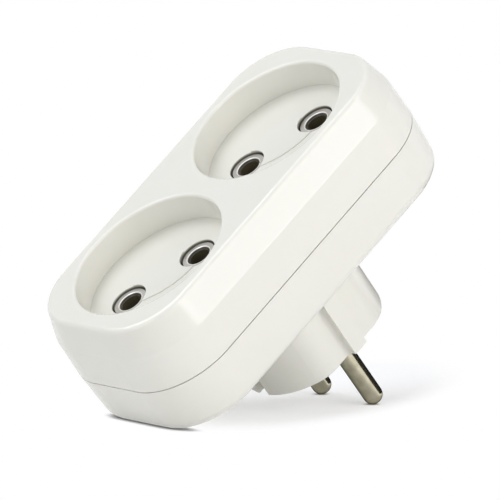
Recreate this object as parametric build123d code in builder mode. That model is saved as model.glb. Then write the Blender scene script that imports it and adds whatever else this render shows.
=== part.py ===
from build123d import *
import math
import os

# Two-way plug-in socket adapter for round-pin plugs without earth contacts. Millimetres.
# X runs across the housing, Z along it, and the socket face looks towards -Y.
# The origin is on the plug's end face, midway between the two pins.
# Every level below is a height above that end face, counted towards the sockets.

# Pins and the holes that take the same pins
pin_spacing = 19.0
pin_diameter = 4.8
pin_length = 19.0
pin_shank = 5.6
pin_collar = 7.4
pin_collar_height = 1.2
pin_tail = 3.0
pin_head = 4.8
pin_head_height = 0.8

# Wells in the socket face; the land between them is wider than the land at each end
well_diameter = 38.8
middle_land_extra = 1.65
well_depth = 7.35
well_draft = 0.5
well_lip = 0.7
well_floor_wall = 2.0
well_side_wall = 1.6
socket_angle = 62.0
contact_hole = 9.2
pad_width = 11.2
pad_overlap = 2.8
pad_height = 0.28
pad_chamfer = 0.15

# Housing
housing_width = 49.8
housing_length = 97.7
corner_radius = 16.9
bevel_inset = 2.4
bevel_depth = 7.7
front_depth = 17.5
wall = 2.2
face_wall = 2.4
back_wall = 1.8
front_draft = 0.3
back_draft = 0.7
rim_round = 1.3
bevel_round = 2.0
back_round = 3.0

# Seam between the two covers
seam_gap = 0.28
lip_depth = 2.2
lip_thickness = 0.9
lip_clearance = 0.2

# Plug body
plug_length = 18.55
plug_diameter = 37.4
plug_draft = 0.25
plug_wall = 2.2
end_wall = 3.0
flat_depth = 2.6
flat_blend = 8.0
plug_end_round = 0.5
rib_width = 4.2
rib_height = 2.2
rib_edge = 0.9
rib_flank = 0.1
notch_width = 3.8
notch_depth = 2.2
pin_boss = 9.2
pin_boss_height = 4.0
pin_clearance = 0.1
pin_room = 3.35

# Contact sleeves and their spring rings
sleeve_diameter = 8.4
sleeve_bore = 5.0
sleeve_recess = 0.55
sleeve_mouth = 0.55
sleeve_tail = 6.4
sleeve_rivet_height = 0.6
slot_width = 0.8
slot_length = 8.0
ring_thickness = 0.8
ring_width = 2.4
ring_gap = 2.0
ring_groove = 0.2
ring_clearance = 0.05

# Busbars
bar_thickness = 0.8
bar_width = 7.0
bar_lift = 2.9
bar_bend = 1.2
bar_seat_width = 4.0
ear_margin = 1.3
rivet_clearance = 0.05

# Screws, and the posts that they join
screw_diameter = 3.0
screw_length = 12.0
screw_head = 5.6
screw_head_height = 2.0
screw_slot_width = 0.9
screw_slot_length = 3.4
screw_slot_depth = 1.0
screw_point = 1.2
screw_clearance = 0.15
screw_recess = 3.2
head_clearance = 0.4
post_wall = 2.5
post_inset = 7.1
joint_drop = 5.0
pillar_diameter = 4.4
guide_wall = 1.5
guide_depth = 4.0

# Levels
back_level = plug_length
housing_depth = well_depth + pin_length + pin_room + back_wall
face_level = back_level + housing_depth
floor_level = face_level - well_depth
cup_level = floor_level - well_floor_wall
bevel_level = face_level - bevel_depth
seam_level = face_level - front_depth
joint_level = seam_level - joint_drop
inner_back_level = back_level + back_wall
bar_level = inner_back_level + bar_lift
bar_top_level = bar_level + bar_thickness
mouth_level = floor_level - sleeve_recess
guide_level = cup_level - guide_depth
boss_level = end_wall + pin_boss_height
foot_level = boss_level + pin_collar_height
ring_level = (mouth_level + bar_top_level - ring_width) / 2
head_level = back_level + screw_recess
pilot_level = head_level + screw_length

# Widths and places that follow from the sizes above
side_land = (housing_width - well_diameter) / 2 - bevel_inset
end_land = (housing_length - 2 * bevel_inset - 2 * well_diameter - middle_land_extra) / 3
well_pitch = well_diameter + end_land + middle_land_extra
narrow_land = min(side_land, end_land)
pin_x = pin_spacing / 2
pad_end = pin_x + pad_overlap
flat_span = plug_diameter - 2 * flat_depth
rib_span = flat_span + 2 * rib_height
rib_root = rib_height - rib_edge - rib_flank
plug_radius = plug_diameter / 2
sleeve_radius = sleeve_diameter / 2
ring_radius = sleeve_radius - ring_groove
ear_radius = sleeve_radius + ear_margin
screw_z = housing_length / 2 - post_inset
screw_hole = screw_diameter + 2 * screw_clearance
post_diameter = screw_hole + 2 * post_wall
head_recess = screw_head + 2 * head_clearance
sleeve_x = pin_x * math.cos(math.radians(socket_angle))
sleeve_z = pin_x * math.sin(math.radians(socket_angle))
wells = [(0, well_pitch / 2), (0, -well_pitch / 2)]
screws = [(0, screw_z), (0, -screw_z)]
pins = [(pin_x, 0), (-pin_x, 0)]
sleeves = {
    "upper_right": (sleeve_x, well_pitch / 2 + sleeve_z),
    "upper_left": (-sleeve_x, well_pitch / 2 - sleeve_z),
    "lower_right": (sleeve_x, -well_pitch / 2 + sleeve_z),
    "lower_left": (-sleeve_x, -well_pitch / 2 - sleeve_z),
}
contact_holes = [Location((x, z, 0), (0, 0, socket_angle)) for x, z in sleeves.values()]
far_sleeve_z = well_pitch / 2 + sleeve_z
near_sleeve_z = well_pitch / 2 - sleeve_z
far_seat_z = well_pitch / 2
near_seat_z = near_sleeve_z + ear_radius + ring_thickness
bar_seats = [(pin_x, far_seat_z), (pin_x, -near_seat_z), (-pin_x, -far_seat_z), (-pin_x, near_seat_z)]


def level(height, side=1):
    """Plane across the adapter at a height above the plug's end face; side -1 turns it half a turn."""
    return Plane(origin=(0, -height, 0), x_dir=(side, 0, 0), z_dir=(0, -1, 0))


def housing_outline(inset, mode=Mode.ADD):
    """Rounded outline of the housing, inset from its widest line at the seam."""
    RectangleRounded(
        housing_width - 2 * inset, housing_length - 2 * inset, corner_radius - inset, mode=mode
    )


def plug_outline(inset):
    """Round plug outline with a flat on each side, in line with the pins."""
    Circle(plug_radius - inset)
    Rectangle(flat_span - 2 * inset, plug_diameter, mode=Mode.INTERSECT)


def plug_section(height, growth):
    """Plug section at a level: flats blended into the round, and a rib with hollow roots on each flat."""
    with BuildSketch(level(height)) as section:
        plug_outline(-growth)
        fillet(section.vertices(), flat_blend)
        Rectangle(rib_span + 2 * growth, rib_width)
        rib_corners = section.vertices().filter_by_position(Axis.Y, -rib_width, rib_width).group_by(Axis.X)
        fillet(rib_corners[1] + rib_corners[2], rib_root)
        fillet(rib_corners[0] + rib_corners[3], rib_edge)
    return section.sketch


def column(places, diameter, start, stop, mode=Mode.ADD):
    """Round columns, or holes, between two levels of the part being built."""
    with BuildSketch(level(start)) as section:
        with Locations(*places):
            Circle(diameter / 2)
    extrude(section.sketch, amount=stop - start, mode=mode)


# Front cover: bevelled face, two wells and the lip that enters the back cover
with BuildSketch() as pad:
    with BuildLine():
        ThreePointArc((-pad_end, 0), (0, pad_width / 2), (pad_end, 0))
        ThreePointArc((pad_end, 0), (0, -pad_width / 2), (-pad_end, 0))
    make_face()

with BuildPart() as front_cover:
    with BuildSketch(level(seam_level)):
        housing_outline(0)
    with BuildSketch(level(bevel_level)):
        housing_outline(front_draft)
    loft(ruled=True)
    with BuildSketch(level(bevel_level)):
        housing_outline(front_draft)
    with BuildSketch(level(face_level)):
        housing_outline(bevel_inset)
    loft(ruled=True)
    fillet(front_cover.edges().group_by(Axis.Y)[2], bevel_round)
    fillet(front_cover.edges().group_by(Axis.Y)[0], min(rim_round, narrow_land / 2))
    with BuildSketch(level(seam_level)):
        housing_outline(wall)
    with BuildSketch(level(bevel_level)):
        housing_outline(wall + front_draft)
    loft(ruled=True, mode=Mode.SUBTRACT)
    with BuildSketch(level(bevel_level)):
        housing_outline(wall + front_draft)
    with BuildSketch(level(face_level - face_wall)):
        housing_outline(wall + bevel_inset)
    loft(ruled=True, mode=Mode.SUBTRACT)
    hidden_top = face_level - face_wall / 2
    column(wells, well_diameter + 2 * well_side_wall, cup_level, hidden_top)
    column(screws, post_diameter, joint_level, hidden_top)
    column(sleeves.values(), contact_hole + 2 * guide_wall, guide_level, floor_level)
    column(bar_seats, pillar_diameter, bar_top_level, floor_level)
    with BuildSketch(level(face_level)):
        with Locations(*wells):
            Circle(well_diameter / 2)
    extrude(amount=-well_depth, taper=well_draft, mode=Mode.SUBTRACT)
    face_edges = front_cover.edges().filter_by(GeomType.CIRCLE).group_by(Axis.Y)[0]
    fillet(face_edges.sort_by(SortBy.RADIUS)[-2:], min(well_lip, narrow_land / 4))
    with BuildSketch(level(floor_level)):
        with Locations(*wells):
            add(pad.sketch, rotation=socket_angle)
    extrude(amount=pad_height)
    chamfer(front_cover.edges(Select.LAST).group_by(Axis.Y)[0], pad_chamfer)
    column(contact_holes, contact_hole, guide_level, face_level, Mode.SUBTRACT)
    column(screws, screw_hole, joint_level, pilot_level, Mode.SUBTRACT)
    with BuildSketch(level(seam_level - lip_depth)):
        housing_outline(wall - lip_thickness)
        housing_outline(wall, Mode.SUBTRACT)
    extrude(amount=lip_depth)

# Back cover: lower side wall, plug body, pin bosses, screw bosses and busbar seats
with BuildPart() as back_cover:
    with BuildSketch(level(back_level)):
        housing_outline(back_draft)
    with BuildSketch(level(seam_level - seam_gap)):
        housing_outline(0)
    loft(ruled=True)
    fillet(back_cover.edges().group_by(Axis.Y)[-1], back_round)
    loft(sections=[plug_section(0, 0), plug_section(inner_back_level, plug_draft)], ruled=True)
    fillet(back_cover.edges().group_by(Axis.Y)[-1], plug_end_round)
    with BuildSketch(level(0)):
        with Locations((0, plug_radius), (0, -plug_radius)):
            Rectangle(notch_width, 2 * notch_depth)
    extrude(amount=back_level, mode=Mode.SUBTRACT)
    with BuildSketch(level(inner_back_level)):
        housing_outline(back_draft + wall)
    with BuildSketch(level(seam_level - seam_gap)):
        housing_outline(wall)
    loft(ruled=True, mode=Mode.SUBTRACT)
    with BuildSketch(level(end_wall)):
        plug_outline(plug_wall)
        with Locations((0, plug_radius), (0, -plug_radius)):
            Rectangle(notch_width + 2 * plug_wall, 2 * (notch_depth + plug_wall), mode=Mode.SUBTRACT)
    extrude(amount=inner_back_level - end_wall, mode=Mode.SUBTRACT)
    column(pins, pin_boss, end_wall, boss_level)
    column(pins, pin_shank + 2 * pin_clearance, 0, boss_level, Mode.SUBTRACT)
    column(screws, head_recess + 2 * back_wall, back_level + back_wall / 2, joint_level)
    column(screws, head_recess, back_level, head_level, Mode.SUBTRACT)
    column(screws, screw_hole, back_level, joint_level, Mode.SUBTRACT)
    with BuildSketch(level(back_level + back_wall / 2)):
        with Locations(*bar_seats):
            Rectangle(bar_width, bar_seat_width)
    extrude(amount=bar_level - back_level - back_wall / 2)
    rebate_level = seam_level - lip_depth - lip_clearance
    with BuildSketch(level(rebate_level)):
        housing_outline(wall - lip_thickness - lip_clearance)
    extrude(amount=seam_level - rebate_level, mode=Mode.SUBTRACT)


def plug_pin(x):
    """Turned pin with a domed tip, a shank in the plug's boss, a collar and a riveted tail."""
    tip_radius = pin_diameter / 2
    with BuildPart() as pin:
        with BuildSketch():
            with BuildLine():
                Polyline(
                    (x, pin_length),
                    (x, -foot_level - bar_thickness - pin_head_height),
                    (x + pin_head / 2, -foot_level - bar_thickness - pin_head_height),
                    (x + pin_head / 2, -foot_level - bar_thickness),
                    (x + pin_tail / 2, -foot_level - bar_thickness),
                    (x + pin_tail / 2, -foot_level),
                    (x + pin_collar / 2, -foot_level),
                    (x + pin_collar / 2, -boss_level),
                    (x + pin_shank / 2, -boss_level),
                    (x + pin_shank / 2, 0),
                    (x + tip_radius, 0),
                    (x + tip_radius, pin_length - tip_radius),
                )
                RadiusArc((x + tip_radius, pin_length - tip_radius), (x, pin_length), -tip_radius)
            make_face()
        revolve(axis=Axis((x, 0, 0), (0, 1, 0)))
    return pin.part


def contact_sleeve(x, z):
    """Turned tube with a flared mouth, a ring groove, two side slots and a riveted tail."""
    bore = sleeve_bore / 2
    ring_top = ring_level + ring_width
    rear_level = bar_level - sleeve_rivet_height
    with BuildPart() as sleeve:
        with BuildSketch(Plane.XY.offset(z)):
            with BuildLine():
                Polyline(
                    (x + bore, -mouth_level + sleeve_mouth),
                    (x + bore + sleeve_mouth, -mouth_level),
                    (x + sleeve_radius, -mouth_level),
                    (x + sleeve_radius, -ring_top),
                    (x + ring_radius, -ring_top),
                    (x + ring_radius, -ring_level),
                    (x + sleeve_radius, -ring_level),
                    (x + sleeve_radius, -bar_top_level),
                    (x + sleeve_tail / 2, -bar_top_level),
                    (x + sleeve_tail / 2, -bar_level),
                    (x + sleeve_radius, -bar_level),
                    (x + sleeve_radius, -rear_level),
                    (x + bore, -rear_level),
                    close=True,
                )
            make_face()
        revolve(axis=Axis((x, 0, z), (0, 1, 0)))
        with BuildSketch(level(ring_level + (ring_width - slot_length) / 2)):
            with Locations((x, z)):
                Rectangle(slot_width, 2 * sleeve_diameter)
        extrude(amount=slot_length, mode=Mode.SUBTRACT)
    return sleeve.part


def spring_ring(x, z):
    """Split flat ring that closes the slotted sleeve on the inserted pin."""
    inner = ring_radius + ring_clearance
    with BuildPart() as ring:
        with BuildSketch(level(ring_level + ring_clearance)):
            with Locations((x, z)):
                Circle(inner + ring_thickness)
                Circle(inner, mode=Mode.SUBTRACT)
            with Locations((x + inner, z)):
                Rectangle(sleeve_diameter, ring_gap, mode=Mode.SUBTRACT)
        extrude(amount=ring_width - 2 * ring_clearance)
    return ring.part


def busbar(side):
    """Folded strip from one pin to one sleeve of each well; the two strips are half a turn apart."""
    upper = (sleeve_x, far_sleeve_z)
    lower = (sleeve_x, -near_sleeve_z)
    top = far_sleeve_z + ear_radius
    bottom = -near_seat_z - bar_seat_width / 2
    leg_x = pin_x - bar_width / 2
    reach_x = pin_x + bar_width / 2
    with BuildPart() as bar:
        with BuildSketch(level(bar_level, side)):
            with Locations((pin_x, (top + bottom) / 2)):
                Rectangle(bar_width, top - bottom)
            with Locations(upper, lower):
                Circle(ear_radius)
                Circle(sleeve_tail / 2 + rivet_clearance, mode=Mode.SUBTRACT)
        extrude(amount=bar_thickness)
        with BuildSketch(Plane(origin=(0, 0, 0), x_dir=(side, 0, 0), z_dir=(0, 0, side))):
            with BuildLine():
                fold = FilletPolyline(
                    (reach_x, -bar_level),
                    (leg_x, -bar_level),
                    (leg_x, -foot_level - bar_thickness),
                    (reach_x, -foot_level - bar_thickness),
                    radius=bar_bend,
                )
                offset(fold, amount=bar_thickness, side=Side.LEFT)
            make_face()
        extrude(amount=bar_width / 2, both=True)
        with BuildSketch(level(foot_level, side)):
            with Locations((pin_x, 0)):
                Circle(pin_tail / 2 + rivet_clearance)
        extrude(amount=bar_thickness, mode=Mode.SUBTRACT)
    return bar.part


# Case screws: pan heads with a cross recess, from the back into the front cover's posts
with BuildPart() as case_screws:
    column(screws, screw_head, head_level - screw_head_height, head_level)
    fillet(case_screws.edges().group_by(Axis.Y)[-1], screw_head_height / 2)
    column(screws, screw_diameter, head_level, pilot_level)
    chamfer(case_screws.edges().group_by(Axis.Y)[0], screw_point)
    with BuildSketch(level(head_level - screw_head_height)):
        with Locations(*screws):
            Rectangle(screw_slot_width, screw_slot_length)
            Rectangle(screw_slot_length, screw_slot_width)
    extrude(amount=screw_slot_depth, mode=Mode.SUBTRACT)

pieces = {
    "front_cover": front_cover.part,
    "back_cover": back_cover.part,
    "plug_pin_right": plug_pin(pin_x),
    "plug_pin_left": plug_pin(-pin_x),
    "busbar_right": busbar(1),
    "busbar_left": busbar(-1),
    "case_screws": case_screws.part,
}
for place, (x, z) in sleeves.items():
    pieces[f"contact_sleeve_{place}"] = contact_sleeve(x, z)
    pieces[f"spring_ring_{place}"] = spring_ring(x, z)

os.makedirs("parts", exist_ok=True)
for name, piece in pieces.items():
    piece.label = name
    export_step(piece, f"parts/{name}.step")
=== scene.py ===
"""Dresses the two-way socket adapter: white mouldings, nickel contacts and pins, brass strips and screws."""
import logging
import math
from collections.abc import Callable
from dataclasses import dataclass
from enum import Enum, IntEnum

import bpy
import numpy as np
from mathutils import Matrix, Vector


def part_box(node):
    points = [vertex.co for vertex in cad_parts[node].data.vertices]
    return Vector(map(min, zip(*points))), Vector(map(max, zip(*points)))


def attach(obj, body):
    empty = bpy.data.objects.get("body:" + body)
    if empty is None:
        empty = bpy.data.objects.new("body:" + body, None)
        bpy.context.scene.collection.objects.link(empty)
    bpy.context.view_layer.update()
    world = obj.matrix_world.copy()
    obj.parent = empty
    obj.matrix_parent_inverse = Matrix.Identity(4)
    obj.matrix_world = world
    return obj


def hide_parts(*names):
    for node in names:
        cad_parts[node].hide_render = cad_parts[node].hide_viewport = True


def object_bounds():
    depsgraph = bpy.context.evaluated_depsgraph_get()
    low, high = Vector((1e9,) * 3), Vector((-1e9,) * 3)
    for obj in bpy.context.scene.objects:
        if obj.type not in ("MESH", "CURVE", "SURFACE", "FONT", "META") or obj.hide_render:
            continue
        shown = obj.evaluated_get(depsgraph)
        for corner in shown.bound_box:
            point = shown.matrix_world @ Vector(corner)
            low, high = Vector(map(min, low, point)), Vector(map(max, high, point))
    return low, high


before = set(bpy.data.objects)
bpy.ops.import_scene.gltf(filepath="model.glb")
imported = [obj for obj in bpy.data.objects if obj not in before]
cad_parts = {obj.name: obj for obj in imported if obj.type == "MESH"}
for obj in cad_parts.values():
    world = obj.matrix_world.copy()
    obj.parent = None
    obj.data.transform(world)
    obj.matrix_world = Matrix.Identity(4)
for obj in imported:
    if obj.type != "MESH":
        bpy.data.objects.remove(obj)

LOG = logging.getLogger("adapter")
CAD_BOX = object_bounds()
MM = 0.001
PHOTO_SIDE = 500
SLEEVE_PLACES = ("upper_right", "upper_left", "lower_right", "lower_left")
WHITE = "#FFFFFF"
COOL_WHITE = "#F8FAFF"
WARM_WHITE = "#FFFCFD"

Tree = bpy.types.NodeTree
Socket = bpy.types.NodeSocket
Inputs = dict[str | int, object]
Wiring = Callable[[Tree, Socket], Inputs]


class MixSocket(IntEnum):
    """Numbers of the Mix node's colour sockets, whose names it gives to its other kinds of value too."""

    FACTOR = 0
    RESULT = 2
    FIRST = 6
    SECOND = 7


class MarkRun(Enum):
    """Which way the tool marks of a metal piece run, as the stretch of a noise along X, Y and Z."""

    ROUND_Y = (0.06, 1.0, 0.06)
    ALONG_Z = (1.0, 1.0, 0.04)


def linear(colour: str) -> tuple[float, float, float, float]:
    """Turns an sRGB hex colour into linear values with full alpha, by the standard sRGB curve.

    Args:
        colour: Six hex digits with a leading hash sign.

    Returns:
        Red, green, blue and alpha, each from 0 to 1.
    """
    knee, slope, offset, power = 0.04045, 12.92, 0.055, 2.4
    srgb = np.frombuffer(bytes.fromhex(colour[1:]), np.uint8) / np.iinfo(np.uint8).max
    values = np.where(srgb <= knee, srgb / slope, ((srgb + offset) / (1 + offset)) ** power)
    return (*values.tolist(), 1.0)


def add_node(tree: Tree, kind: str, inputs: Inputs | None = None, **settings: object) -> bpy.types.Node:
    """Adds one node, sets its properties, and links or fills its inputs.

    Args:
        tree: The node tree that gets the node.
        kind: The node's type name.
        inputs: Input names or numbers, each with a value or with a socket to link from.
        **settings: Properties of the node itself.

    Returns:
        The new node.
    """
    node = tree.nodes.new(kind)
    for name, value in settings.items():
        setattr(node, name, value)
    for name, value in (inputs or {}).items():
        if isinstance(value, Socket):
            tree.links.new(value, node.inputs[name])
        else:
            node.inputs[name].default_value = value
    return node


def per_metre(spacing_mm: float) -> float:
    """Gives the noise scale whose features are one spacing apart, for coordinates in metres."""
    return 1 / (spacing_mm * MM)


def axis_distance(tree: Tree, place: Socket, centre: Vector) -> Socket:
    """Measures how far a point is from a sleeve's axis, which runs along Y.

    Args:
        tree: The material's node tree.
        place: Object coordinates.
        centre: A point on the axis, in metres.

    Returns:
        The distance in metres.
    """
    flat = add_node(tree, "ShaderNodeMapping", {
        "Vector": place, "Location": (-centre.x, 0.0, -centre.z), "Scale": (1.0, 0.0, 1.0),
    })
    return add_node(tree, "ShaderNodeVectorMath", {0: flat.outputs[0]}, operation="LENGTH").outputs["Value"]


def bare_tree(block: bpy.types.Material | bpy.types.World) -> Tree:
    """Turns a material or a surround to nodes, and gives its empty node tree."""
    block.use_nodes = True
    block.node_tree.nodes.clear()
    return block.node_tree


def surface_material(name: str, wire: Wiring) -> bpy.types.Material:
    """Makes a material with one Principled shader.

    Args:
        name: The material's name.
        wire: Function that takes the node tree and the Object coordinates, and returns the shader's inputs.

    Returns:
        The new material.
    """
    material = bpy.data.materials.new(name)
    tree = bare_tree(material)
    place = add_node(tree, "ShaderNodeTexCoord").outputs["Object"]
    shader = add_node(tree, "ShaderNodeBsdfPrincipled", wire(tree, place))
    add_node(tree, "ShaderNodeOutputMaterial", {"Surface": shader.outputs["BSDF"]})
    return material


@dataclass(frozen=True)
class MouldedPlastic:
    """Gloss white ABS out of a polished mould: its unevenness, its light depth and painted shade in the gaps
    round the sleeves.
    """

    name: str = "abs_gloss_white_moulded"
    colour: str = "#E8E7DF"
    shade: str = "#E5E4DA"
    cloud_mm: float = 18.0
    gloss_low: float = 0.16
    gloss_high: float = 0.24
    ripple_mm: float = 9.0
    ripple_detail: float = 1.0
    ripple_height_mm: float = 0.006
    grain_mm: float = 0.35
    grain_height_mm: float = 0.0012
    ior: float = 1.53
    depth_mm: float = 0.6
    depth_share: float = 0.35
    depth_by_colour: tuple[float, float, float] = (1.0, 0.9, 0.8)
    # Painted shade: the plastic is darkened to this colour in the gaps round the sleeves.
    gap_painted_shade_colour: str = "#7C786D"
    gap_mm: float = 4.7
    gap_edge_mm: float = 0.05
    gap_rise_mm: float = 0.75
    gap_depth_mm: float = 3.0

    # Painted shade: this mask darkens the plastic in the gap round each sleeve, where the real gap lies in
    # shade.
    def painted_gap_shade(self, tree: Tree, place: Socket, mouths: list[Vector]) -> Socket:
        """Gives 1 in the gap round a sleeve, from its mouth to the gap's depth, and 0 everywhere else.

        Args:
            tree: The material's node tree.
            place: Object coordinates.
            mouths: The middle of each sleeve's mouth, in metres.

        Returns:
            The share of painted shade.
        """
        edge = self.gap_edge_mm * MM
        outside = self.gap_mm * MM
        mouth_level = mouths[0].y
        bottom = mouth_level + self.gap_depth_mm * MM
        nearest = axis_distance(tree, place, mouths[0])
        for mouth in mouths[1:]:
            nearest = add_node(tree, "ShaderNodeMath", {
                0: nearest, 1: axis_distance(tree, place, mouth),
            }, operation="MINIMUM").outputs[0]
        inside = add_node(tree, "ShaderNodeMapRange", {
            "Value": nearest, "From Min": outside, "From Max": outside + edge, "To Min": 1.0, "To Max": 0.0,
        })
        level = add_node(tree, "ShaderNodeSeparateXYZ", {"Vector": place}).outputs["Y"]
        sunk = add_node(tree, "ShaderNodeMapRange", {
            "Value": level, "From Min": mouth_level - self.gap_rise_mm * MM, "From Max": mouth_level,
        }, interpolation_type="SMOOTHSTEP")
        shallow = add_node(tree, "ShaderNodeMapRange", {
            "Value": level, "From Min": bottom, "From Max": bottom + edge, "To Min": 1.0, "To Max": 0.0,
        })
        band = add_node(tree, "ShaderNodeMath", {
            0: sunk.outputs[0], 1: shallow.outputs[0],
        }, operation="MULTIPLY")
        both = add_node(tree, "ShaderNodeMath", {
            0: inside.outputs[0], 1: band.outputs[0],
        }, operation="MULTIPLY")
        return both.outputs[0]

    def make(self, mouths: list[Vector]) -> bpy.types.Material:
        """Makes the plastic: clouded colour, painted shade in the gaps, uneven gloss, and a ripple with a fine
        grain.

        Args:
            mouths: The middle of each sleeve's mouth, in metres.

        Returns:
            The new material.
        """

        def wire(tree: Tree, place: Socket) -> Inputs:
            """Wires the plastic's noises to the shader's inputs.

            Args:
                tree: The material's node tree.
                place: Object coordinates.

            Returns:
                The shader's inputs.
            """
            cloud = add_node(tree, "ShaderNodeTexNoise", {"Vector": place, "Scale": per_metre(self.cloud_mm)})
            clouded_colour = add_node(tree, "ShaderNodeMix", {
                MixSocket.FACTOR: cloud.outputs[0],
                MixSocket.FIRST: linear(self.colour),
                MixSocket.SECOND: linear(self.shade),
            }, data_type="RGBA")
            colour = add_node(tree, "ShaderNodeMix", {
                MixSocket.FACTOR: self.painted_gap_shade(tree, place, mouths),
                MixSocket.FIRST: clouded_colour.outputs[MixSocket.RESULT],
                MixSocket.SECOND: linear(self.gap_painted_shade_colour),
            }, data_type="RGBA")
            gloss = add_node(tree, "ShaderNodeMapRange", {
                "Value": cloud.outputs[0], "To Min": self.gloss_low, "To Max": self.gloss_high,
            })
            ripple = add_node(tree, "ShaderNodeTexNoise", {
                "Vector": place, "Scale": per_metre(self.ripple_mm), "Detail": self.ripple_detail,
            })
            grain = add_node(tree, "ShaderNodeTexNoise", {"Vector": place, "Scale": per_metre(self.grain_mm)})
            rippled = add_node(tree, "ShaderNodeBump", {
                "Height": ripple.outputs[0], "Distance": self.ripple_height_mm * MM,
            })
            grained = add_node(tree, "ShaderNodeBump", {
                "Height": grain.outputs[0], "Distance": self.grain_height_mm * MM,
                "Normal": rippled.outputs[0],
            })
            return {
                "Base Color": colour.outputs[MixSocket.RESULT],
                "Roughness": gloss.outputs[0],
                "IOR": self.ior,
                "Subsurface Weight": self.depth_share,
                "Subsurface Radius": self.depth_by_colour,
                "Subsurface Scale": self.depth_mm * MM,
                "Normal": grained.outputs[0],
            }

        return surface_material(self.name, wire)


@dataclass(frozen=True)
class WorkedMetal:
    """Plated or rolled metal: tool marks in one direction, and a film that dulls it in patches."""

    name: str
    colour: str
    dull: str
    run: MarkRun
    marks_mm: float
    marks_height_mm: float
    gloss_low: float
    gloss_high: float
    patch_mm: float = 2.5
    edge: str = WHITE
    marks_detail: float = 3.0

    def metal_inputs(self, tree: Tree, place: Socket) -> Inputs:
        """Wires patches and tool marks to the shader's inputs.

        Args:
            tree: The material's node tree.
            place: Object coordinates.

        Returns:
            The shader's inputs.
        """
        patches = add_node(tree, "ShaderNodeTexNoise", {"Vector": place, "Scale": per_metre(self.patch_mm)})
        stretched = add_node(tree, "ShaderNodeMapping", {"Vector": place, "Scale": self.run.value})
        marks = add_node(tree, "ShaderNodeTexNoise", {
            "Vector": stretched.outputs[0], "Scale": per_metre(self.marks_mm), "Detail": self.marks_detail,
        })
        colour = add_node(tree, "ShaderNodeMix", {
            MixSocket.FACTOR: patches.outputs[0],
            MixSocket.FIRST: linear(self.colour),
            MixSocket.SECOND: linear(self.dull),
        }, data_type="RGBA")
        gloss = add_node(tree, "ShaderNodeMapRange", {
            "Value": marks.outputs[0], "To Min": self.gloss_low, "To Max": self.gloss_high,
        })
        marked = add_node(tree, "ShaderNodeBump", {
            "Height": marks.outputs[0], "Distance": self.marks_height_mm * MM,
        })
        return {
            "Base Color": colour.outputs[MixSocket.RESULT],
            "Metallic": 1.0,
            "Roughness": gloss.outputs[0],
            "Specular Tint": linear(self.edge),
            "Normal": marked.outputs[0],
        }

    def make(self) -> bpy.types.Material:
        """Makes the metal."""
        return surface_material(self.name, self.metal_inputs)


@dataclass(frozen=True)
class ContactMetal(WorkedMetal):
    """Nickel-plated sleeve: painted shade in bore and flare, a rim lightened as worn plating and painted
    highlight, and a dull land.
    """

    # Painted shade: bore and flare are painted dark and not metallic; the rim is lighter as worn plating and
    # painted highlight.
    bore_painted_shade: str = "#5A5442"
    flare_painted_shade: str = "#1F1D16"
    rim_wear_and_highlight: str = "#E6E4DF"
    bore_mm: float = 2.52
    flare_mm: float = 2.87
    rim_mm: float = 3.12
    blend_mm: float = 0.08

    def make_at(self, place_name: str, centre: Vector) -> bpy.types.Material:
        """Makes the metal of one sleeve, with the painted shade round that sleeve's own axis.

        Args:
            place_name: Name of the sleeve's place.
            centre: A point on the sleeve's axis, in metres.

        Returns:
            The new material.
        """

        def wire(tree: Tree, place: Socket) -> Inputs:
            """Lays bore, flare, rim and land side by side by distance from the sleeve's axis.

            Args:
                tree: The material's node tree.
                place: Object coordinates.

            Returns:
                The shader's inputs.
            """
            shader = self.metal_inputs(tree, place)
            radius = axis_distance(tree, place, centre)
            past_bore, past_flare, past_rim = [
                add_node(tree, "ShaderNodeMapRange", {
                    "Value": radius, "From Min": edge_mm * MM, "From Max": (edge_mm + self.blend_mm) * MM,
                }, interpolation_type="SMOOTHSTEP").outputs[0]
                for edge_mm in (self.bore_mm, self.flare_mm, self.rim_mm)
            ]
            # Painted shade inside the bore and the flare; the rim colour is partly painted highlight.
            film = add_node(tree, "ShaderNodeMix", {
                MixSocket.FACTOR: past_bore,
                MixSocket.FIRST: linear(self.bore_painted_shade),
                MixSocket.SECOND: linear(self.flare_painted_shade),
            }, data_type="RGBA")
            metal = add_node(tree, "ShaderNodeMix", {
                MixSocket.FACTOR: past_rim,
                MixSocket.FIRST: linear(self.rim_wear_and_highlight),
                MixSocket.SECOND: shader["Base Color"],
            }, data_type="RGBA")
            colour = add_node(tree, "ShaderNodeMix", {
                MixSocket.FACTOR: past_flare,
                MixSocket.FIRST: film.outputs[MixSocket.RESULT],
                MixSocket.SECOND: metal.outputs[MixSocket.RESULT],
            }, data_type="RGBA")
            return shader | {"Base Color": colour.outputs[MixSocket.RESULT], "Metallic": past_flare}

        return surface_material(f"{self.name}_{place_name}", wire)


@dataclass(frozen=True)
class MattCard:
    """Dark card without gloss, the same all over."""

    name: str = "card_dark_matt"
    colour: str = "#1A1A18"
    roughness: float = 0.9

    def wire(self, tree: Tree, place: Socket) -> Inputs:
        """Gives the shader one colour and one roughness, whatever the place."""
        return {"Base Color": linear(self.colour), "Roughness": self.roughness}

    def make(self) -> bpy.types.Material:
        """Makes the card's surface."""
        return surface_material(self.name, self.wire)


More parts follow.
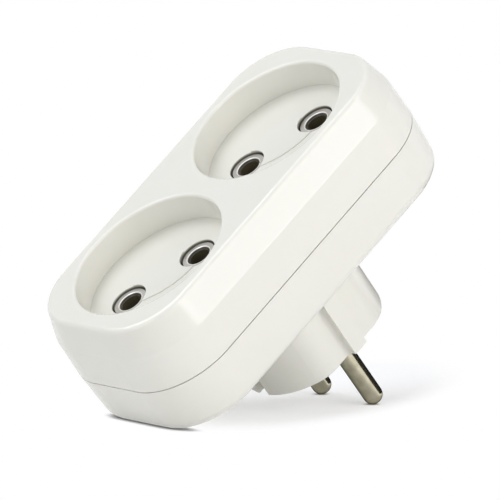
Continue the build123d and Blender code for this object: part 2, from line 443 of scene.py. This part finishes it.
@dataclass(frozen=True)
class TablePaper:
    """White matt paper under the object, with the oval that its shadow fills. Metres, unless named mm.

    The oval's long axis runs as shadow_run says, by its shares to the right and towards the camera. Its middle
    and its half lengths are given along that axis and across it. The other pairs are the ends of a soft step.
    """

    name: str = "paper_white_matt"
    colour: str = "#C8C8C8"
    lift: float = 0.45
    shadow_run: tuple[float, float] = (0.425, -0.905)
    shadow_centre_mm: tuple[float, float] = (14.4, -4.6)
    shadow_half_mm: tuple[float, float] = (56.0, 24.0)
    shadow_edge: tuple[float, float] = (0.7, 1.15)
    contact_mm: float = 2.5
    contact_open: tuple[float, float] = (0.2, 0.6)
    contact_samples: int = 8
    glow: tuple[float, float] = (0.219, 0.301)
    glow_radii: tuple[float, float] = (0.03, 0.10)
    mirror_radii: tuple[float, float] = (0.016, 0.042)

    def shadow_reach(self, tree: Tree, place: Socket, axes: Matrix) -> Socket:
        """Measures how far a point of the table is from the shadow's middle, where 1 is the oval's edge.

        Args:
            tree: The material's node tree.
            place: Object coordinates.
            axes: The table's own axes as columns: right, towards the camera, and up.

        Returns:
            The distance, with the oval's long and short half lengths as its units.
        """
        right, near, _ = axes.transposed()
        along = right * self.shadow_run[0] + near * self.shadow_run[1]
        across = near * self.shadow_run[0] - right * self.shadow_run[1]
        parts = [
            add_node(tree, "ShaderNodeVectorMath", {
                0: place, 1: axis / (half * MM),
            }, operation="DOT_PRODUCT").outputs["Value"]
            for axis, half in zip((along, across), self.shadow_half_mm)
        ]
        spot = add_node(tree, "ShaderNodeCombineXYZ", {"X": parts[0], "Y": parts[1]})
        middle = [centre / half for centre, half in zip(self.shadow_centre_mm, self.shadow_half_mm)]
        reach = add_node(tree, "ShaderNodeVectorMath", {
            0: spot.outputs[0], 1: (*middle, 0.0),
        }, operation="DISTANCE")
        return reach.outputs["Value"]

    def to_camera(self, tree: Tree, paper: Socket, white: Socket, opened: Socket, reach: Socket) -> Socket:
        """Shows white outside the shadow's oval, lit paper with a lift inside it, and bare paper at a touch as
        painted contact shadow.

        Args:
            tree: The material's node tree.
            paper: Shader of the bare paper.
            white: Shader of plain white.
            opened: 0 where something touches the paper, and 1 where it is open; the 0 drops the lift as
                painted contact shadow.
            reach: Distance from the shadow's middle, where 1 is the oval's edge.

        Returns:
            The shader that the camera sees.
        """
        shaded = add_node(tree, "ShaderNodeMapRange", {
            "Value": reach, "From Min": self.shadow_edge[0], "From Max": self.shadow_edge[1],
            "To Min": 1.0, "To Max": 0.0,
        }, interpolation_type="SMOOTHSTEP")
        lift = add_node(tree, "ShaderNodeEmission", {"Strength": self.lift})
        lifted = add_node(tree, "ShaderNodeAddShader", {0: paper, 1: lift.outputs[0]})
        bright = add_node(tree, "ShaderNodeMixShader", {0: shaded.outputs[0], 1: white, 2: lifted.outputs[0]})
        return add_node(tree, "ShaderNodeMixShader", {0: opened, 1: paper, 2: bright.outputs[0]}).outputs[0]

    def to_mirrors(self, tree: Tree, paper: Socket, white: Socket, distance: Socket) -> Socket:
        """Shows bare paper near the origin and plain white further out.

        Args:
            tree: The material's node tree.
            paper: Shader of the bare paper.
            white: Shader of plain white.
            distance: Distance from the origin, in metres.

        Returns:
            The shader that polished metal mirrors.
        """
        far_out = add_node(tree, "ShaderNodeMapRange", {
            "Value": distance, "From Min": self.mirror_radii[0], "From Max": self.mirror_radii[1],
        }, interpolation_type="SMOOTHSTEP")
        return add_node(tree, "ShaderNodeMixShader", {0: far_out.outputs[0], 1: paper, 2: white}).outputs[0]

    def to_object(self, tree: Tree, paper: Socket, opened: Socket, distance: Socket) -> Socket:
        """Lights the object with the bare paper and a glow that grows with distance and stops at a touch, as
        painted contact shade.

        Args:
            tree: The material's node tree.
            paper: Shader of the bare paper.
            opened: 0 where something touches the paper, and 1 where it is open.
            distance: Distance from the origin, in metres.

        Returns:
            The shader that lights the object.
        """
        bounce = add_node(tree, "ShaderNodeMapRange", {
            "Value": distance, "From Min": self.glow_radii[0], "From Max": self.glow_radii[1],
            "To Min": self.glow[0], "To Max": self.glow[1],
        }, interpolation_type="SMOOTHSTEP")
        spread = add_node(tree, "ShaderNodeMath", {0: bounce.outputs[0], 1: opened}, operation="MULTIPLY")
        glow = add_node(tree, "ShaderNodeEmission", {"Strength": spread.outputs[0]})
        return add_node(tree, "ShaderNodeAddShader", {0: paper, 1: glow.outputs[0]}).outputs[0]

    def make(self, axes: Matrix) -> bpy.types.Material:
        """Makes the paper: a shader each for the camera, for mirrors and for the object, clear from below.

        Args:
            axes: The table's own axes as columns: right, towards the camera, and up.

        Returns:
            The new material.
        """
        material = bpy.data.materials.new(self.name)
        tree = bare_tree(material)
        place = add_node(tree, "ShaderNodeTexCoord").outputs["Object"]
        distance = add_node(tree, "ShaderNodeVectorMath", {0: place}, operation="LENGTH").outputs["Value"]
        reach = self.shadow_reach(tree, place, axes)
        # Painted contact shadow: ambient occlusion within contact_mm drops the paper's lift and glow where
        # something touches.
        touch = add_node(tree, "ShaderNodeAmbientOcclusion", {
            "Distance": self.contact_mm * MM,
        }, samples=self.contact_samples)
        opened = add_node(tree, "ShaderNodeMapRange", {
            "Value": touch.outputs["AO"], "From Min": self.contact_open[0], "From Max": self.contact_open[1],
        }, interpolation_type="SMOOTHSTEP").outputs[0]
        paper = add_node(tree, "ShaderNodeBsdfDiffuse", {"Color": linear(self.colour)}).outputs[0]
        white = add_node(tree, "ShaderNodeEmission", {"Strength": 1.0}).outputs[0]

        path = add_node(tree, "ShaderNodeLightPath")
        unseen = add_node(tree, "ShaderNodeMixShader", {
            0: path.outputs["Is Glossy Ray"],
            1: self.to_object(tree, paper, opened, distance),
            2: self.to_mirrors(tree, paper, white, distance),
        })
        direct = add_node(tree, "ShaderNodeMath", {
            0: path.outputs["Is Camera Ray"], 1: path.outputs["Is Transmission Ray"],
        }, operation="MAXIMUM")
        top = add_node(tree, "ShaderNodeMixShader", {
            0: direct.outputs[0],
            1: unseen.outputs[0],
            2: self.to_camera(tree, paper, white, opened, reach),
        })
        below = add_node(tree, "ShaderNodeNewGeometry").outputs["Backfacing"]
        clear = add_node(tree, "ShaderNodeBsdfTransparent")
        both = add_node(tree, "ShaderNodeMixShader", {0: below, 1: top.outputs[0], 2: clear.outputs[0]})
        add_node(tree, "ShaderNodeOutputMaterial", {"Surface": both.outputs[0]})
        return material


# Gloss ABS out of a polished mould: a warm white that lets a little light in, so that its edges look soft,
# with reflections that waver where the plastic shrank. Painted shade makes the gaps round the sleeves look
# dark.
PLASTIC = MouldedPlastic()
# Turned brass pins under nickel: warm grey in soft patches, with fine rings from the lathe that soften every
# reflection, and darker where the surface turns away. The rings are about three times as coarse as real ones,
# so that they show.
PIN_NICKEL = WorkedMetal(
    "nickel_plated_brass_turned", "#ECE6CE", "#B4AD93", MarkRun.ROUND_Y,
    marks_mm=0.3, marks_height_mm=0.0025, gloss_low=0.08, gloss_high=0.16, patch_mm=2.4, edge="#55524A",
)
# Sleeves have a greyer, duller plating, so that only the rim, lightened as worn plating and painted highlight,
# shines against the bore's painted shade.
SLEEVE_NICKEL = ContactMetal(
    "nickel_plated_brass_sleeve", "#ACAAA5", "#9A9892", MarkRun.ROUND_Y,
    marks_mm=0.3, marks_height_mm=0.003, gloss_low=0.25, gloss_high=0.38,
)
# Rolled strip has long streaks in the rolling direction and a yellow-brown film.
STRIP_BRASS = WorkedMetal(
    "brass_rolled_strip", "#C9A35B", "#A9803F", MarkRun.ALONG_Z,
    marks_mm=0.25, marks_height_mm=0.003, gloss_low=0.26, gloss_high=0.42,
)
# Hardened spring strip is bright blue-grey.
RING_STEEL = WorkedMetal(
    "spring_steel_bright", "#9A9DA1", "#7F8388", MarkRun.ROUND_Y,
    marks_mm=0.25, marks_height_mm=0.003, gloss_low=0.24, gloss_high=0.36,
)
# Zinc plating is pale and faintly milky in patches.
SCREW_ZINC = WorkedMetal(
    "steel_zinc_plated", "#BFC1C2", "#A4A7A9", MarkRun.ROUND_Y,
    marks_mm=0.4, marks_height_mm=0.003, gloss_low=0.28, gloss_high=0.45, patch_mm=1.2,
)
# Matt paper shows no gloss, only white and the object's soft shadow.
PAPER = TablePaper()
# The card gives the plated pins a black strip to mirror. The camera doesn't see it, and it casts no shadow.
CARD = MattCard()


def dress(node: str, material: bpy.types.Material) -> None:
    """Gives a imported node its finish.

    Args:
        node: The node's name.
        material: The finish.
    """
    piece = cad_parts[node]
    for slot in piece.material_slots:
        slot.material = material
    LOG.info("%s is dressed in %s", node, material.name)


def grid_of(*coordinates: np.ndarray | float) -> np.ndarray:
    """Stacks three coordinates, each spread over the others' rows and columns, into a grid of points."""
    return np.stack(np.broadcast_arrays(*coordinates), axis=-1)


def piece_from_faces(name: str, points: np.ndarray, faces: list[list[int]]) -> bpy.types.Object:
    """Makes an object at the origin from a grid of points and the faces between them.

    Args:
        name: The object's name.
        points: Array of rows, columns and coordinates, in metres.
        faces: Numbers of each face's points, counted row by row.

    Returns:
        The new object, linked to the scene.
    """
    mesh = bpy.data.meshes.new(name)
    mesh.from_pydata(points.reshape(-1, points.shape[-1]), [], faces)
    piece = bpy.data.objects.new(name, mesh)
    bpy.context.scene.collection.objects.link(piece)
    return piece


def turned_from_grid(name: str, points: np.ndarray) -> bpy.types.Object:
    """Makes a closed turned surface from a grid of points, with the first and the last row as its ends.

    Row i and column j of the grid become one vertex. Each vertex is joined to the next one in its row, round
    to the first, and to the same column of the next row, so the faces are quads. Each end row closes with one
    face.

    Args:
        name: The object's name.
        points: Array of rows, columns and coordinates, in metres.

    Returns:
        The new object, smooth shaded.
    """
    index = np.arange(points[..., 0].size).reshape(points.shape[:-1])
    after = np.roll(index, -1, axis=1)
    corners = [index[:-1], after[:-1], after[1:], index[1:]]
    quads = np.stack(corners, axis=-1).reshape(-1, len(corners))
    ends = [index[0, ::-1].tolist(), index[-1].tolist()]
    piece = piece_from_faces(name, points, quads.tolist() + ends)
    piece.data.shade_smooth()
    return piece


def sheet_from_grid(name: str, points: np.ndarray) -> bpy.types.Object:
    """Makes an open sheet from a grid of points, with a quad between each point and the next row and column.

    Args:
        name: The object's name.
        points: Array of rows, columns and coordinates, in metres.

    Returns:
        The new object.
    """
    index = np.arange(points[..., 0].size).reshape(points.shape[:-1])
    corners = [index[:-1, :-1], index[1:, :-1], index[1:, 1:], index[:-1, 1:]]
    quads = np.stack(corners, axis=-1).reshape(-1, len(corners))
    return piece_from_faces(name, points, quads.tolist())


def sleeve_mouth(place: str) -> Vector:
    """Gives the middle of a contact sleeve's mouth, in metres."""
    low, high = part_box(f"contact_sleeve_{place}")
    return Vector(((low.x + high.x) / 2, low.y, (low.z + high.z) / 2))


@dataclass
class Housing:
    """The two white mouldings: socket face with its wells, and back with the plug body."""

    covers: tuple[str, ...] = ("front_cover", "back_cover")

    def dress(self) -> None:
        """Gives both covers the same plastic."""
        plastic = PLASTIC.make([sleeve_mouth(place) for place in SLEEVE_PLACES])
        for cover in self.covers:
            dress(cover, plastic)


@dataclass
class Contacts:
    """Pins, sleeves, spring rings and strips that carry the current."""

    sides: tuple[str, ...] = ("right", "left")
    places: tuple[str, ...] = SLEEVE_PLACES

    def dress(self) -> None:
        """Gives the pins and sleeves their plating, the rings their steel and the strips their brass."""
        pin, strip, ring = PIN_NICKEL.make(), STRIP_BRASS.make(), RING_STEEL.make()
        for side in self.sides:
            dress(f"plug_pin_{side}", pin)
            dress(f"busbar_{side}", strip)
        for place in self.places:
            dress(f"contact_sleeve_{place}", SLEEVE_NICKEL.make_at(place, sleeve_mouth(place)))
            dress(f"spring_ring_{place}", ring)


@dataclass
class CaseScrews:
    """Two cross-head screws with a thread, in the place of the plain ones. Sizes in millimetres."""

    head_height: float = 2.0
    head_round: float = 0.9
    head_core_share: float = 0.02
    shank: float = 3.0
    thread_depth: float = 0.35
    thread_pitch: float = 1.25
    plain_length: float = 1.0
    point: float = 1.6
    point_share: float = 0.03
    recess_width: float = 0.9
    recess_length: float = 3.4
    recess_depth: float = 1.0
    recess_edge: float = 0.12
    columns: int = 96
    head_rows: int = 40
    rows_per_turn: int = 12

    def within(self, width: float, offset: np.ndarray) -> np.ndarray:
        """Gives 1 within half a width of the middle and 0 outside, with a ramp as wide as the recess edge."""
        return np.clip(((width + self.recess_edge) / 2 - offset) / self.recess_edge, 0, 1)

    def surface(self, head_radius: float, length: float) -> np.ndarray:
        """Works out one screw about its own axis, in millimetres.

        The head's top is a flat that drops as a quarter circle at its edge, less a cross that is sunk where a
        point lies within half the recess width of either arm and within the arm's length. The shank's radius
        is its thread's root plus the depth times a triangle wave of the height in pitches less the angle in
        turns. The wave fades in after the plain part under the head, and at the point the radius falls to a
        small share.

        Args:
            head_radius: Radius of the head.
            length: Length from under the head to the point.

        Returns:
            Grid of rows, columns and coordinates: across, down from the top of the head, and across.
        """
        turn = np.linspace(0, 1, self.columns, endpoint=False)[None, :]
        cosine, sine = np.cos(2 * math.pi * turn), np.sin(2 * math.pi * turn)
        radius = np.linspace(self.head_core_share, 1, self.head_rows)[:, None] * head_radius
        across, along = np.abs(radius * cosine), np.abs(radius * sine)
        arm = self.within(self.recess_width, np.minimum(across, along))
        reach = self.within(self.recess_length, np.maximum(across, along))
        edge = np.clip(radius - head_radius + self.head_round, 0, self.head_round)
        dome = self.head_round - np.sqrt(self.head_round ** 2 - edge ** 2)
        head = grid_of(radius * cosine, dome + self.recess_depth * arm * reach, radius * sine)
        under = grid_of(head_radius * cosine, self.head_height, head_radius * sine)

        steps = int(length / self.thread_pitch * self.rows_per_turn)
        down = np.linspace(0, length, steps)[:, None]
        phase = (down / self.thread_pitch - turn) % 1
        wave = 1 - np.abs(2 * phase - 1)
        start = np.clip((down - self.plain_length) / self.thread_pitch, 0, 1)
        end = np.clip((length - down) / self.point, 0, 1)
        root = self.shank / 2 - self.thread_depth
        taper = self.point_share + (1 - self.point_share) * end
        shank_radius = (root + self.thread_depth * wave * start) * taper
        shank = grid_of(shank_radius * cosine, self.head_height + down, shank_radius * sine)
        return np.concatenate([head, under, shank])

    def build(self) -> None:
        """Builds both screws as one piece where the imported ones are, and dresses it."""
        low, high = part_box("case_screws")
        head_radius = (high.x - low.x) / 2 / MM
        length = (high.y - low.y) / MM - self.head_height
        across, down, along = np.moveaxis(self.surface(head_radius, length) * MM, -1, 0)
        place = high.z - head_radius * MM
        screws = [
            turned_from_grid(f"case_screw_{number}", grid_of(across, high.y - down, middle + along))
            for number, middle in enumerate((place, -place))
        ]
        piece = screws[0]
        with bpy.context.temp_override(active_object=piece, selected_editable_objects=screws):
            bpy.ops.object.join()
        piece.name = "case_screws_threaded"
        piece.data.materials.append(SCREW_ZINC.make())
        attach(piece, "root")
        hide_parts("case_screws")
        LOG.info("%s has %d faces", piece.name, len(piece.data.polygons))


@dataclass(frozen=True)
class PhotoCamera:
    """Camera of the photograph: its place in metres, its three axes and its focal length in pixels."""

    place: tuple[float, float, float] = (1.519184, -1.016720, -0.767705)
    right: tuple[float, float, float] = (0.625603, 0.491969, 0.605464)
    up: tuple[float, float, float] = (-0.111864, -0.711506, 0.693719)
    back: tuple[float, float, float] = (0.772080, -0.501722, -0.390087)
    focal_px: float = 8461.0
    sensor_mm: float = 36.0
    sight: float = 20.0

    def build(self) -> None:
        """Makes the camera and sets it as the scene's own."""
        data = bpy.data.cameras.new("photo_camera")
        data.sensor_width = self.sensor_mm
        data.lens = self.focal_px / PHOTO_SIDE * self.sensor_mm
        data.clip_end = self.sight
        camera = bpy.data.objects.new("photo_camera", data)
        axes = Matrix((self.right, self.up, self.back)).transposed().to_4x4()
        camera.matrix_world = Matrix.Translation(self.place) @ axes
        bpy.context.scene.collection.objects.link(camera)
        bpy.context.scene.camera = camera


@dataclass(frozen=True)
class Softbox:
    """A soft lamp, placed from the object's middle: to the right, towards the camera and up, in metres."""

    name: str
    towards: tuple[float, float, float]
    width: float
    height: float
    radiance: float
    colour: str = COOL_WHITE


@dataclass(frozen=True)
class Studio:
    """White table under the leaning adapter, lamps, dark card and white surround. Metres, unless named."""

    floor_up: tuple[float, float, float] = (0.0, -0.77137, 0.63638)
    floor_level_mm: float = -15.2045
    floor_radius: float = 3.0
    floor_points: int = 25
    card_turn_degrees: tuple[float, float] = (-4.0, 100.0)
    card_turns: int = 24
    card_heights: tuple[float, float] = (0.0, 0.045)
    card_radius: float = 0.15
    surround: float = 0.24
    lamps: tuple[Softbox, ...] = (
        Softbox("top_left_softbox", (-0.6, 0.0, 0.8), 0.7, 0.7, 4.11),
        Softbox("top_right_softbox", (0.6, 0.3, 0.75), 0.6, 0.6, 1.2),
        Softbox("front_right_softbox", (0.55, 0.8, 0.4), 0.6, 0.6, 3.11, WARM_WHITE),
        Softbox("right_back_softbox", (0.9, -0.5, 0.3), 0.6, 0.5, 0.21, WARM_WHITE),
        Softbox("right_low_strip", (0.85, 0.5, 0.1), 0.7, 0.2, 2.3, WARM_WHITE),
        Softbox("left_front_low_strip", (-0.6, 0.8, 0.12), 0.7, 0.2, 3.3),
        Softbox("bevel_strip", (0.84, 0.42, 0.34), 0.24, 0.50, 3.1),
    )

    def axes(self) -> Matrix:
        """Gives the table's own axes as columns: right, towards the camera, and up."""
        up = Vector(self.floor_up).normalized()
        right = Vector(PhotoCamera().right)
        right = (right - right.dot(up) * up).normalized()
        return Matrix((right, right.cross(up), up)).transposed()

    def on_table(self, flat: np.ndarray) -> np.ndarray:
        """Turns points given as right, towards the camera and up into the model's own axes, in metres."""
        return flat @ np.array(self.axes()).T + np.array(self.floor_up) * self.floor_level_mm * MM

    def build(self) -> None:
        """Makes the floor, the card, the lamps and the surround."""
        self.make_floor()
        self.make_card()
        for lamp in self.lamps:
            self.make_lamp(lamp)
        self.make_surround()

    def make_floor(self) -> None:
        """Makes the table top: a square grid of points in the table's own plane."""
        ahead = np.linspace(-self.floor_radius, self.floor_radius, self.floor_points)[:, None]
        floor = sheet_from_grid("table_top", self.on_table(grid_of(ahead.T, ahead, 0.0)))
        floor.data.materials.append(PAPER.make(self.axes()))

    def make_card(self) -> None:
        """Makes the card that only mirrors see: a strip curved round the table, by angle and by height."""
        turn = np.radians(np.linspace(*self.card_turn_degrees, self.card_turns))[:, None]
        height = np.array(self.card_heights)[None, :]
        flat = grid_of(self.card_radius * np.cos(turn), -self.card_radius * np.sin(turn), height)
        card = sheet_from_grid("dark_card", self.on_table(flat))
        card.data.materials.append(CARD.make())
        card.visible_camera = False
        card.visible_diffuse = False
        card.visible_shadow = False

    def make_lamp(self, lamp: Softbox) -> None:
        """Makes one lamp that looks at the object.

        Args:
            lamp: The lamp's place, size and light.
        """
        centre = (CAD_BOX[0] + CAD_BOX[1]) / 2
        offset = self.axes() @ Vector(lamp.towards)
        data = bpy.data.lights.new(lamp.name, "AREA")
        data.shape = "RECTANGLE"
        data.size = lamp.width
        data.size_y = lamp.height
        data.energy = lamp.radiance * math.pi * lamp.width * lamp.height
        data.color = linear(lamp.colour)[:3]
        light = bpy.data.objects.new(lamp.name, data)
        back = offset.normalized()
        side = Vector(self.floor_up).cross(back).normalized()
        axes = Matrix((side, back.cross(side), back)).transposed().to_4x4()
        light.matrix_world = Matrix.Translation(centre + offset) @ axes
        light.visible_camera = False
        bpy.context.scene.collection.objects.link(light)

    def make_surround(self) -> None:
        """Makes the surround: white to the camera and in mirrors, and softer as light on the object."""
        world = bpy.data.worlds.new("white_surround")
        bpy.context.scene.world = world
        tree = bare_tree(world)
        path = add_node(tree, "ShaderNodeLightPath")
        sight = add_node(tree, "ShaderNodeMath", {
            0: path.outputs["Is Camera Ray"], 1: path.outputs["Is Glossy Ray"],
        }, operation="MAXIMUM")
        seen = add_node(tree, "ShaderNodeMath", {
            0: sight.outputs[0], 1: path.outputs["Is Transmission Ray"],
        }, operation="MAXIMUM")
        soft = add_node(tree, "ShaderNodeBackground", {
            "Color": linear(COOL_WHITE), "Strength": self.surround,
        })
        white = add_node(tree, "ShaderNodeBackground", {"Color": linear(WHITE), "Strength": 1.0})
        both = add_node(tree, "ShaderNodeMixShader", {
            0: seen.outputs[0], 1: soft.outputs[0], 2: white.outputs[0],
        })
        add_node(tree, "ShaderNodeOutputWorld", {"Surface": both.outputs[0]})


def main() -> None:
    """Builds and dresses the adapter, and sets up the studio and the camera."""
    logging.basicConfig(level=logging.INFO, format="%(message)s")
    bpy.context.scene.view_settings.view_transform = "Standard"
    Housing().dress()
    Contacts().dress()
    CaseScrews().build()
    Studio().build()
    PhotoCamera().build()


if __name__ == "__main__":
    main()
